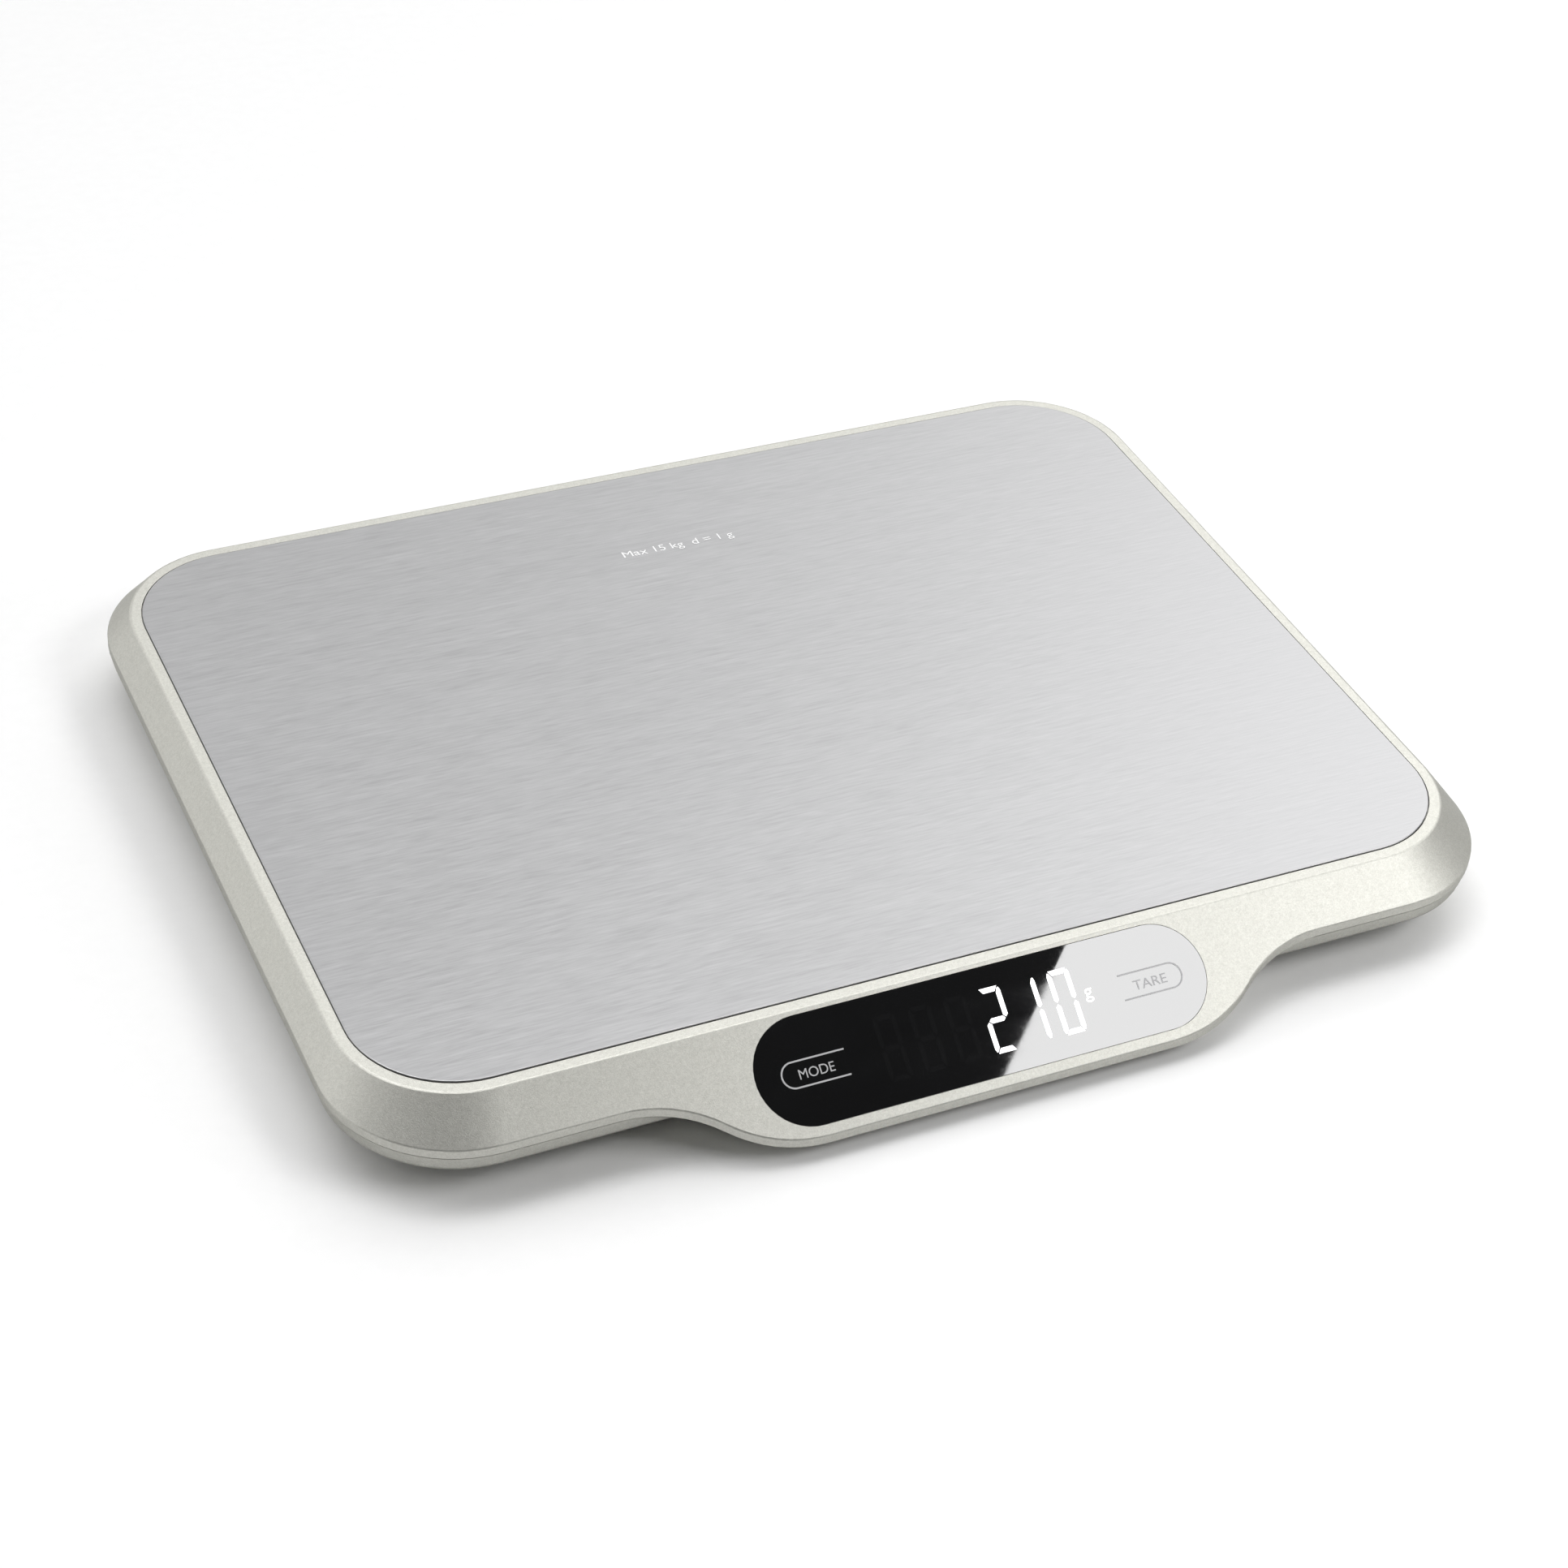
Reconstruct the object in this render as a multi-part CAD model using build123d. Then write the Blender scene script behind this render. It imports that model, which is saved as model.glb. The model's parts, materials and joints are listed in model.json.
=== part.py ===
"""Slim digital kitchen scale with a steel weighing plate and a forward display tongue.

Millimetres, +Z up, +X to the right of the person reading the display, -Y towards that person.
Every piece is drawn about the middle of the weighing plate and moved on export, so that the
origin is the middle of the outline on the surface that the feet stand on.
"""
from build123d import *
import os
from math import cos, radians, sin, tan

# ---------------------------------------------------------------- weighing plate
plate_width = 300.0
plate_depth = 223.0
plate_corner = 27.0
plate_thick = 0.8
plate_top = 24.5
plate_edge_round = 0.35
plate_gap = 0.25
plate_proud = 0.3
glue_thick = 0.3
glue_margin = 4.0

# ---------------------------------------------------------------- housing outline
lip_width = 3.0
side_flare = 6.0
shoulder_drop = 7.8
shoulder_corner = 34.0
front_tilt = 35.0
band_height = 2.4
parting_gap = 0.3
lip_round = 1.1
shoulder_round = 0.6
edge_find = 0.01
deck_thick = 2.0
wall = 2.2
front_wall_run = 3.4
rib_thick = 1.4
rib_height = 2.6
rib_pitch = 40.0

# ---------------------------------------------------------------- display tongue
tongue_reach = 31.4
tongue_mid_half = 72.0
tongue_blend = 48.2
tongue_floor = 2.6
tongue_floor_thick = 1.5
tongue_wall = 1.6
tongue_taper = 25.0
tongue_root = 2.0

# ---------------------------------------------------------------- bottom cover
keel_break = 9.5
keel_break_inset = 1.0
keel_round = 2.5
bottom_z = 4.0
bottom_inset = 7.6
floor_thick = 1.8
skirt_thick = 1.3
skirt_rise = 1.6
skirt_depth = 2.5
fit_gap = 0.15

# ---------------------------------------------------------------- display
lens_length = 123.6
lens_width = 27.3
lens_centre = 14.9
lens_thick = 1.2
lens_gap = 0.15
tape_thick = 0.2
lens_ledge = 2.4
mask_length = 66.0
mask_width = 19.0
mask_thick = 2.3
mask_clear = 0.1
digit_width = 6.2
digit_height = 16.6
digit_stroke = 1.4
digit_joint = 0.3
digit_pitch = 9.6
digit_count = 6
last_digit_x = 22.4
display_board_length = 136.0
display_board_width = 18.0
display_board_thick = 0.8
display_post_x = 64.5
display_post_radius = 2.5
display_screw_bite = 2.0
pad_centre = 46.5
pad_radius = 4.5
pad_bore = 2.5

# ---------------------------------------------------------------- feet and load cells
foot_x = 120.0
foot_back = 82.0
foot_front = 86.0
pad_disc_radius = 12.0
pad_disc_thick = 1.6
pad_recess = 0.8
foot_radius = 14.5
foot_stem_radius = 4.5
stem_hole_clear = 1.0
foot_edge_round = 0.6
pad_edge_round = 0.3
foot_travel = 0.5
foot_head_clear = 0.4
cell_size = 34.0
cell_z = 8.0
cell_thick = 2.0
cell_rim = 5.0
cell_tongue = 12.0
cell_fit = 0.1
cell_corner = 1.5
frame_wall = 3.0
frame_top = 10.8
frame_ledge = 2.5
hook_reach = 1.2
hook_width = 12.0
hook_gap = 0.05
ear_reach = 3.5
ear_radius = 4.5
ear_thick = 2.4
ear_post_radius = 3.2

# ---------------------------------------------------------------- batteries
aaa_count = 3
aaa_radius = 5.25
aaa_length = 44.5
aaa_nub_radius = 1.9
aaa_nub = 0.8
aaa_edge_round = 0.4
battery_pitch = 11.3
bay_y = 52.0
bay_clear = 0.6
bay_head = 0.4
bay_wall = 1.4
bay_roof = 1.2
bay_ledge = 1.6
contact_thick = 0.4
contact_width = 8.0
spring_gap = 3.4
spring_wire = 0.35
spring_turns = 3.0
spring_radius = 3.0
door_thick = 1.6
door_gap = 0.35
door_seat_gap = 0.1
door_rim = 2.6
hinge_pin_radius = 0.6
hinge_pin_clear = 0.05
hinge_pin_reach = 1.2
latch_width = 12.0
latch_length = 7.0
latch_slot = 0.8
grip_width = 8.0
grip_depth = 0.5
grip_count = 3
scoop_reach = 7.0
scoop_depth = 1.0

# ---------------------------------------------------------------- electronics
board_length = 66.0
board_width = 34.0
board_thick = 1.6
board_z = 9.6
board_y = -66.0
board_post_radius = 3.2
board_hole_inset = 4.0
chip_thick = 1.4
plug_length = 7.0
plug_width = 5.0
plug_height = 4.5
plug_offset = 4.2
wire_radius = 0.5
wire_pitch = 1.3
wire_z = 12.9
wire_bend = 9.0
wire_drop_bend = 2.2
lead_hole_clear = 0.1
ribbon_width = 14.0
ribbon_thick = 0.5
ribbon_bend = 4.0
socket_width = 18.0
socket_length = 4.0
socket_height = 2.4
label_length = 64.0
label_width = 30.0
label_thick = 0.12
label_y = -30.0
corner_round = 2.0
solder_offset = 6.0
front_turn = 70.0
back_lane = 72.0
back_step = 14.0
lead_lane = 38.0
lead_lane_step = 3.0
lead_end_x = 14.0
lead_inset = 3.0
lead_run = 14.0
lead_bends = [6.0, 9.0, 5.0, 1.3]
ribbon_leave = 4.5
ribbon_run = 14.0
chips = [(-8.0, 0.0, (10.0, 10.0)), (10.0, 4.0, (8.0, 5.0)), (10.0, -6.0, (5.0, 3.5))]
can = (19.0, 8.0, 2.5, 5.0)

# ---------------------------------------------------------------- fasteners
screw_radius = 1.45
screw_head_radius = 2.7
screw_head = 1.8
screw_length = 10.0
small_screw_radius = 0.9
small_screw_head_radius = 1.8
small_screw_head = 1.1
small_screw_length = 4.6
screw_slot = 0.5
boss_radius = 3.9
boss_top = 9.0
head_bore_depth = 2.6
head_bore_clear = 0.3
screw_clear = 0.05
screw_pass_clear = 0.15
screw_hole_spare = 1.0
screw_tip_clear = 0.2
side_boss_x = 146.0
side_boss_y = 30.0
end_boss_x = 62.0
end_boss_y = 102.0

# ---------------------------------------------------------------- derived places
tilt = radians(front_tilt)
lip_z = plate_top - plate_proud
shoulder_z = lip_z - shoulder_drop
parting_z = shoulder_z - band_height
lower_top = parting_z - parting_gap
plate_bottom = plate_top - plate_thick
deck_top = plate_bottom - glue_thick
deck_bottom = deck_top - deck_thick
floor_top = bottom_z + floor_thick
foot_top = bottom_z - foot_travel - foot_head_clear

lip_half_x = plate_width / 2 + plate_gap + lip_width
lip_half_y = plate_depth / 2 + plate_gap + lip_width
lip_corner = plate_corner + plate_gap + lip_width
shoulder_half_x = lip_half_x + side_flare
shoulder_back = lip_half_y + side_flare
shoulder_front = -lip_half_y - shoulder_drop / tan(tilt)
tongue_front = -lip_half_y - tongue_reach * cos(tilt)
plate_centre_y = -(tongue_front + shoulder_back) / 2

slope = Plane(origin=(0, -lip_half_y, lip_z), x_dir=(1, 0, 0), z_dir=(0, -sin(tilt), cos(tilt)))
slope_shoulder = shoulder_drop / sin(tilt)
ledge_z = -(lens_thick + tape_thick)
display_board_z = -(lens_thick + mask_clear + mask_thick)
mask_x = last_digit_x - digit_pitch * (digit_count - 1) / 2

screw_hole = small_screw_radius + screw_clear
frame_size = cell_size + 2 * (cell_fit + frame_wall)
board_top = board_z + board_thick
plug_x = board_length / 2 - plug_width / 2

bay_length = 2 * contact_thick + spring_gap + aaa_length
bay_width = battery_pitch * (aaa_count - 1) + 2 * (aaa_radius + bay_clear)
bay_back = bay_y + bay_width / 2
bay_z = bottom_z + door_thick + bay_head + aaa_radius
bay_top = bay_z + aaa_radius + bay_head
door_length = bay_length + 2 * (door_rim - door_gap)
door_front = bay_y - bay_width / 2 - door_rim + door_gap
hinge_radius = door_thick / 2
hinge_y = bay_back + door_rim - door_gap - hinge_radius
hinge_z = bottom_z + hinge_radius
corners = {"fl": (-1, -1), "fr": (1, -1), "rl": (-1, 1), "rr": (1, 1)}


def foot_place(corner):
    """Centre of the foot at one corner, in plan."""
    side, end = corners[corner]
    return side * foot_x, foot_back if end > 0 else -foot_front


def outline(half_x, back, front, corner, z):
    """Rounded rectangle at height z, from y = front to y = back."""
    middle = (back + front) / 2
    return Plane.XY.offset(z) * Pos(0, middle) * RectangleRounded(2 * half_x, back - front, corner)


def lip_outline(inset, z):
    return outline(lip_half_x - inset, lip_half_y - inset, inset - lip_half_y, lip_corner - inset, z)


def shoulder_outline(inset, z, front_inset=None):
    front = inset if front_inset is None else front_inset
    return outline(shoulder_half_x - inset, shoulder_back - inset, shoulder_front + front,
                   shoulder_corner - inset, z)


def prism(face, height):
    return extrude(face, amount=height, dir=(0, 0, 1))


def slab(low, high):
    """Everything between two heights."""
    reach = 2 * (shoulder_half_x - tongue_front)
    return Pos(0, 0, (low + high) / 2) * Box(reach, reach, high - low)


def tongue_face(inset):
    """Outline of the display tongue in the sloped plane, with its two S-shaped flanks."""
    start = tongue_mid_half + tongue_blend / 2
    end = tongue_mid_half - tongue_blend / 2
    middle = (slope_shoulder + tongue_reach) / 2
    left = [TangentArc((-start, -slope_shoulder), (-tongue_mid_half, -middle), tangent=(1, 0)),
            TangentArc((-end, -tongue_reach), (-tongue_mid_half, -middle), tangent=(-1, 0))]
    right = [mirror(arc, about=Plane.YZ) for arc in left]
    ends = [Line((-end, -tongue_reach), (end, -tongue_reach)),
            Line((-start, -slope_shoulder), (-start, -tongue_root)),
            Line((start, -slope_shoulder), (start, -tongue_root)),
            Line((-start, -tongue_root), (start, -tongue_root))]
    face = make_face(left + right + ends)
    return offset(face, amount=-inset) if inset else face


def slope_slot(inset, z):
    """The display window's straight-sided slot, at depth z under the sloped face."""
    return slope * Pos(0, -lens_centre, z) * SlotOverall(lens_length - 2 * inset, lens_width - 2 * inset)


def on_slope(x, down, z):
    """A place on the sloped face: x, distance down the slope, and height above the face."""
    return slope * Pos(x, -down, z)


# ---------------------------------------------------------------- screws
def screw(place, radius, head_radius, head, length):
    """Slotted pan-head screw driven along the place's +Z, with its head's outer face at the place."""
    body = extrude(Circle(head_radius), amount=head)
    body += Pos(0, 0, head) * extrude(Circle(radius), amount=length)
    body -= extrude(Rectangle(2 * head_radius, screw_slot), amount=head / 2)
    return place * body


def small_screw(place, length=small_screw_length):
    return screw(place, small_screw_radius, small_screw_head_radius, small_screw_head, length)


def downwards(x, y, z):
    return Pos(x, y, z) * Rot(180, 0, 0)


def post(x, y, low, high, radius, hole_radius):
    """Round post with a screw hole right through it."""
    ring = extrude(Circle(radius) - Circle(hole_radius), amount=high - low)
    return Pos(x, y, low) * ring


def cover_screw_places():
    """Four screws along the sides and four along the front and back edges."""
    sides = [(sx * side_boss_x, sy * side_boss_y) for sx in (-1, 1) for sy in (-1, 1)]
    ends = [(sx * end_boss_x, sy * end_boss_y) for sx in (-1, 1) for sy in (-1, 1)]
    return sides + ends


def make_cover_screws():
    z = bottom_z + head_bore_depth - screw_head
    return [screw(Pos(x, y, z), screw_radius, screw_head_radius, screw_head, screw_length)
            for x, y in cover_screw_places()]


# ---------------------------------------------------------------- plate and top cover
def make_weighing_plate():
    face = outline(plate_width / 2, plate_depth / 2, -plate_depth / 2, plate_corner, plate_bottom)
    plate = prism(face, plate_thick)
    return fillet(plate.faces().sort_by(Axis.Z)[-1].edges(), plate_edge_round)


def make_plate_adhesive():
    margin = glue_margin
    face = outline(plate_width / 2 - margin, plate_depth / 2 - margin, margin - plate_depth / 2,
                   plate_corner - margin, deck_top)
    return prism(face, glue_thick)


def top_cover_outside():
    rim = loft([lip_outline(0, lip_z), shoulder_outline(0, shoulder_z)])
    band = prism(shoulder_outline(0, parting_z), band_height)
    tongue = extrude(slope * tongue_face(0), amount=band_height, dir=(0, 0, -1))
    return rim + band + tongue


def top_cover_inside():
    side_run = side_flare * (lip_z - deck_bottom) / shoulder_drop
    front_run = (lip_z - deck_bottom) / tan(tilt)
    upper = outline(lip_half_x + side_run - wall, lip_half_y + side_run - wall,
                    -lip_half_y - front_run + front_wall_run, lip_corner, deck_bottom)
    room = loft([upper, shoulder_outline(wall, shoulder_z, front_wall_run)])
    room += prism(shoulder_outline(wall, parting_z, front_wall_run), band_height)
    under = slope * Pos(0, 0, -band_height * cos(tilt)) * tongue_face(wall)
    return room + (extrude(under, amount=shoulder_drop, dir=(0, 0, -1)) - slab(deck_bottom, plate_top))


def deck_ribs():
    """Crossed ribs under the deck."""
    half_x = lip_half_x - wall
    half_y = lip_half_y - wall
    ribs = []
    for k in range(-int(half_x / rib_pitch), int(half_x / rib_pitch) + 1):
        ribs.append(Pos(k * rib_pitch, 0) * Rectangle(rib_thick, 2 * half_y))
    for k in range(-int(half_y / rib_pitch), int(half_y / rib_pitch) + 1):
        ribs.append(Pos(0, k * rib_pitch) * Rectangle(2 * half_x, rib_thick))
    face = ribs[0]
    for rib in ribs[1:]:
        face += rib
    return prism(Plane.XY.offset(deck_bottom - rib_height) * face, rib_height)


def on_sloped_face(edge):
    return all(abs(slope.to_local_coords(edge.position_at(t)).Z) < edge_find for t in (0, 0.5, 1))


def shoulder_loop(cover):
    """The outer edge where the flared sides and the sloped face meet the upright band."""
    low = [e for e in cover.edges() if e.center().Z < shoulder_z + edge_find]
    level = [e for e in low if e.bounding_box().min.Z > shoulder_z - edge_find]
    tongue = [e for e in low if e.center().Z < shoulder_z - edge_find and on_sloped_face(e)]
    return level + tongue


def make_top_cover():
    cover = top_cover_outside()
    lip_loop = [e for e in cover.edges() if abs(e.center().Z - lip_z) < edge_find]
    cover = fillet(lip_loop, lip_round)
    cover = fillet(shoulder_loop(cover), shoulder_round)
    cover -= top_cover_inside()
    pocket = outline(plate_width / 2 + plate_gap, plate_depth / 2 + plate_gap,
                     -plate_depth / 2 - plate_gap, plate_corner + plate_gap, deck_top)
    cover -= prism(pocket, plate_thick + glue_thick)
    cover -= extrude(slope_slot(-lens_gap, ledge_z), amount=lip_round - ledge_z)
    cover -= extrude(slope_slot(lens_ledge, -shoulder_drop), amount=shoulder_drop)
    cover += deck_ribs()
    hole_top = bottom_z + head_bore_depth + screw_length + screw_hole_spare
    for x, y in cover_screw_places():
        cover += Pos(x, y, boss_top) * extrude(Circle(boss_radius), amount=deck_bottom - boss_top)
        hole = extrude(Circle(screw_radius + screw_clear), amount=hole_top - boss_top)
        cover -= Pos(x, y, boss_top) * hole
    return bore_display_posts(cover)


def bore_display_posts(cover):
    """Two short posts under the sloped face, square to it, for the display board's screws."""
    post_height = -display_board_z - band_height * cos(tilt)
    for side in (-1, 1):
        place = on_slope(side * display_post_x, lens_centre, display_board_z)
        cover += place * extrude(Circle(display_post_radius), amount=post_height)
        cover -= place * extrude(Circle(screw_hole), amount=display_screw_bite + screw_tip_clear)
    return cover


# ---------------------------------------------------------------- bottom cover
def keel_block(inset, low):
    """The bottom cover's outer or inner form: an upright band over an inward sloping keel."""
    top = shoulder_outline(fit_gap + inset, lower_top)
    middle = shoulder_outline(keel_break_inset + inset, keel_break)
    bottom = shoulder_outline(bottom_inset + inset, low)
    block = loft([middle, top]) + loft([bottom, middle])
    break_edges = [e for e in block.edges() if abs(e.center().Z - keel_break) < edge_find]
    return fillet(break_edges, keel_round)


def tongue_block(inset, low):
    """The tongue's belly: it tapers from the sloped parting line to a flat underside."""
    face = Pos(0, 0, -band_height - parting_gap) * (slope * tongue_face(fit_gap + inset))
    block = extrude(face, amount=-2 * shoulder_drop, taper=tongue_taper)
    return block & slab(low, lower_top)


def skirt():
    """Upright rim that stands inside the top cover's wall, left out across the tongue."""
    inner = wall + fit_gap + skirt_thick
    inner_front = front_wall_run + fit_gap + skirt_thick
    low = lower_top - skirt_depth
    lower = shoulder_outline(fit_gap + wall / 2, low) - shoulder_outline(inner, low, inner_front)
    rim = shoulder_outline(wall + fit_gap, lower_top, front_wall_run + fit_gap)
    rim -= shoulder_outline(inner, lower_top, inner_front)
    ring = prism(lower, skirt_depth) + prism(rim, skirt_rise)
    half = tongue_mid_half + tongue_blend / 2 + skirt_thick
    reach = -lip_half_y - tongue_front
    window = Pos(0, -lip_half_y - reach / 2, lower_top) * Box(2 * half, reach, 4 * skirt_depth)
    return ring - window


def bay_block(margin, low, high):
    """Box over the battery bay, margin wider than the room for the cells."""
    block = Box(bay_length + 2 * margin, bay_width + 2 * margin, high - low)
    return Pos(0, bay_y, (low + high) / 2) * block


def cut_battery_bay(shell):
    """Bay for the cells, open below, with a ledge that the door closes against."""
    ledge_top = bottom_z + door_thick + door_seat_gap + bay_ledge
    shell += bay_block(door_rim + bay_wall, bottom_z, ledge_top)
    shell += bay_block(bay_wall, bottom_z, bay_top + bay_roof)
    shell -= bay_block(0, 0, bay_top)
    shell -= bay_block(door_rim, 0, bottom_z + door_thick + door_seat_gap)
    reach = door_length / 2 + hinge_pin_reach + door_gap
    pin_hole = Cylinder(hinge_pin_radius + hinge_pin_clear, 2 * reach)
    shell -= Pos(0, hinge_y, hinge_z) * Rot(0, 90, 0) * pin_hole
    scoop = RectangleRounded(latch_width, 2 * scoop_reach, scoop_reach / 2)
    shell -= Pos(0, door_front, bottom_z) * extrude(scoop, amount=scoop_depth)
    for x, y in lead_starts():
        shell -= Pos(x, y, wire_z) * Rot(0, 90, 0) * Cylinder(wire_radius + lead_hole_clear, 2 * bay_wall)
    return shell


def make_bottom_cover():
    shell = keel_block(0, bottom_z) + tongue_block(0, tongue_floor)
    shell -= keel_block(wall, floor_top)
    shell -= tongue_block(tongue_wall, tongue_floor + tongue_floor_thick)
    shell += skirt()
    shell = cut_battery_bay(shell)
    for corner in corners:
        x, y = foot_place(corner)
        shell -= Pos(x, y, bottom_z) * Cylinder(foot_stem_radius + stem_hole_clear, 4 * floor_thick)
        for ear_y in ear_places(y):
            shell += post(x, ear_y, floor_top, frame_top - ear_thick, ear_post_radius, screw_hole)
    for x, y in board_screw_places():
        shell += post(x, y, floor_top, board_z, board_post_radius, screw_hole)
    for x, y in cover_screw_places():
        shell += Pos(x, y, bottom_z) * extrude(Circle(boss_radius), amount=boss_top - bottom_z)
        bore = extrude(Circle(screw_head_radius + head_bore_clear), amount=head_bore_depth)
        bore += extrude(Circle(screw_radius + screw_pass_clear), amount=boss_top - bottom_z)
        shell -= Pos(x, y, bottom_z) * bore
    return shell


def make_underside_label():
    face = RectangleRounded(label_length, label_width, corner_round)
    return Pos(0, label_y, bottom_z - label_thick) * extrude(face, amount=label_thick)


# ---------------------------------------------------------------- display
def make_display_lens():
    return extrude(slope_slot(0, -lens_thick), amount=lens_thick)


def make_lens_tape():
    return extrude(slope_slot(lens_gap, ledge_z) - slope_slot(lens_ledge, ledge_z), amount=tape_thick)


def segment_outlines():
    """The seven strokes of one digit, each a bar with pointed ends, about the digit's middle."""
    half = digit_stroke / 2
    arm = digit_width / 2 - half
    rise = digit_height / 4 - half / 2
    across = digit_width - 2 * half - 2 * digit_joint
    along = (digit_height - digit_stroke) / 2 - 2 * digit_joint
    flat = bar(across)
    upright = Rot(0, 0, 90) * bar(along)
    rows = [Pos(0, k * (digit_height - digit_stroke) / 2) * flat for k in (-1, 0, 1)]
    sides = [Pos(sx * arm, sy * rise) * upright for sx in (-1, 1) for sy in (-1, 1)]
    return rows + sides


def bar(length):
    half = digit_stroke / 2
    end = length / 2
    return make_face(Polyline((-end, 0), (half - end, half), (end - half, half), (end, 0),
                              (end - half, -half), (half - end, -half), close=True))


def digit_places():
    return [last_digit_x - k * digit_pitch for k in range(digit_count)]


def make_display_mask():
    """Opaque block with a slot over each lamp of the six digits."""
    mask = extrude(Rectangle(mask_length, mask_width), amount=mask_thick)
    for x in digit_places():
        for stroke in segment_outlines():
            mask -= Pos(x - mask_x, 0) * extrude(stroke, amount=mask_thick)
    return on_slope(mask_x, lens_centre, display_board_z) * mask


def make_display_board():
    face = SlotOverall(display_board_length, display_board_width)
    for side in (-1, 1):
        face -= Pos(side * display_post_x, 0) * Circle(screw_hole)
    board = extrude(face, amount=-display_board_thick)
    return on_slope(0, lens_centre, display_board_z) * board


def make_display_screws():
    head_z = display_board_z - display_board_thick - small_screw_head
    length = display_board_thick + display_screw_bite
    return [small_screw(on_slope(side * display_post_x, lens_centre, head_z), length) for side in (-1, 1)]


def make_touch_pad(side):
    """Springy conductive ring between the display board and the back of the lens."""
    ring = extrude(Circle(pad_radius) - Circle(pad_bore), amount=-lens_thick - display_board_z)
    return on_slope(side * pad_centre, lens_centre, display_board_z) * ring


# ---------------------------------------------------------------- main board and wiring
def board_screw_places():
    x = board_length / 2 - board_hole_inset
    y = board_width / 2 - board_hole_inset
    return [(sx * x, board_y + sy * y) for sx in (-1, 1) for sy in (-1, 1)]


def plug_place(corner):
    side, end = corners[corner]
    return side * plug_x, board_y + end * plug_offset


def make_main_board():
    face = Pos(0, board_y) * RectangleRounded(board_length, board_width, corner_round)
    for x, y in board_screw_places():
        face -= Pos(x, y) * Circle(screw_hole)
    return Pos(0, 0, board_z) * extrude(face, amount=board_thick)


def make_board_screws():
    z = board_top + small_screw_head
    return [small_screw(downwards(x, y, z)) for x, y in board_screw_places()]


def make_board_chips():
    """Controller, amplifier, regulator and a can capacitor."""
    blocks = [Pos(x, board_y + y, board_top) * extrude(Rectangle(*size), amount=chip_thick)
              for x, y, size in chips]
    x, y, radius, height = can
    return blocks + [Pos(x, board_y + y, board_top) * extrude(Circle(radius), amount=height)]


def make_sensor_plugs():
    block = extrude(Rectangle(plug_width, plug_length), amount=plug_height)
    return [Pos(*plug_place(corner), board_top) * block for corner in corners]


def wire(points, bends):
    """Round wire along straight runs joined by arcs."""
    path = FilletPolyline(*points, radius=bends)
    start = Plane(origin=path @ 0, z_dir=path % 0)
    return sweep(start * Circle(wire_radius), path=path)


def sensor_route(corner):
    """Runs of one load cell's lead, from its plug to the cell's inner rim."""
    side, end = corners[corner]
    x, y = plug_place(corner)
    foot, foot_y = foot_place(corner)
    pad_x = abs(foot) - cell_size / 2 + cell_rim / 2
    pad_y = foot_y - end * solder_offset
    first = x + side * plug_width / 2
    if end < 0:
        turns = [(side * front_turn, y), (side * front_turn + side * (y - pad_y), pad_y)]
    else:
        lane = side * back_lane
        step = back_step
        turns = [(lane - side * step, y), (lane, y + step), (lane, pad_y - step), (lane + side * step, pad_y)]
    plan = [(first, y)] + turns + [(side * pad_x, pad_y)]
    drop = (side * pad_x, pad_y, cell_z + cell_thick)
    bends = [wire_bend] * len(turns) + [wire_drop_bend]
    return [(px, py, wire_z) for px, py in plan] + [drop], bends


def make_sensor_lead(corner):
    """Three wires side by side."""
    side, end = corners[corner]
    points, bends = sensor_route(corner)
    wires = []
    for k in (-1, 0, 1):
        across = end * k * wire_pitch
        moved = [(px - side * across, py + across, pz) for px, py, pz in points]
        moved[0] = (points[0][0], points[0][1] + across, wire_z)
        wires.append(wire(moved, bends))
    return wires


def lead_starts():
    """Where the two battery leads leave the bay's left wall."""
    x = -bay_length / 2
    reach = battery_pitch * (aaa_count - 1) / 2
    return [(x, bay_y - reach), (x, bay_y + reach)]


def make_battery_leads():
    """One lead from each end of the chain of cells, down to the back of the main board."""
    board_back = board_y + board_width / 2
    leads = []
    for k, (x, y) in enumerate(lead_starts()):
        lane = -lead_lane - k * lead_lane_step
        end_x = -lead_end_x - k * lead_lane_step
        end_y = board_back - lead_inset
        points = [(x, y, wire_z), (lane, y, wire_z), (lane, board_back + lead_run, wire_z),
                  (end_x, board_back + lead_inset, wire_z), (end_x, end_y, wire_z), (end_x, end_y, board_top)]
        leads.append(wire(points, lead_bends))
    return leads


def make_ribbon_socket():
    y = board_y - board_width / 2 + socket_length / 2
    return Pos(0, y, board_top) * extrude(Rectangle(socket_width, socket_length), amount=socket_height)


def make_display_ribbon():
    """Flat cable from under the display board to its socket on the main board."""
    under = display_board_z - display_board_thick - ribbon_thick / 2
    start = on_slope(0, lens_centre, under).position
    leave = on_slope(0, ribbon_leave, under).position
    end_y = board_y - board_width / 2
    end_z = board_top + socket_height / 2
    points = [(start.Y, start.Z), (leave.Y, leave.Z), (end_y - ribbon_run, end_z), (end_y, end_z)]
    path = FilletPolyline(*points, radius=ribbon_bend)
    strip = trace(path, line_width=ribbon_thick)
    plane = Plane(origin=(-ribbon_width / 2, 0, 0), x_dir=(0, 1, 0), z_dir=(1, 0, 0))
    return extrude(plane * strip, amount=ribbon_width)


# ---------------------------------------------------------------- feet and load cells
def ear_places(y):
    reach = frame_size / 2 + ear_reach
    return [y - reach, y + reach]


def make_load_cell(corner):
    """Steel plate whose middle tongue bends under load, held all round by its rim."""
    x, y = foot_place(corner)
    window = cell_size - 2 * cell_rim
    middle = Pos(0, cell_rim) * Rectangle(cell_tongue, window)
    face = RectangleRounded(cell_size, cell_size, cell_corner) - (Rectangle(window, window) - middle)
    return Pos(x, y, cell_z) * extrude(face, amount=cell_thick)


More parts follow.
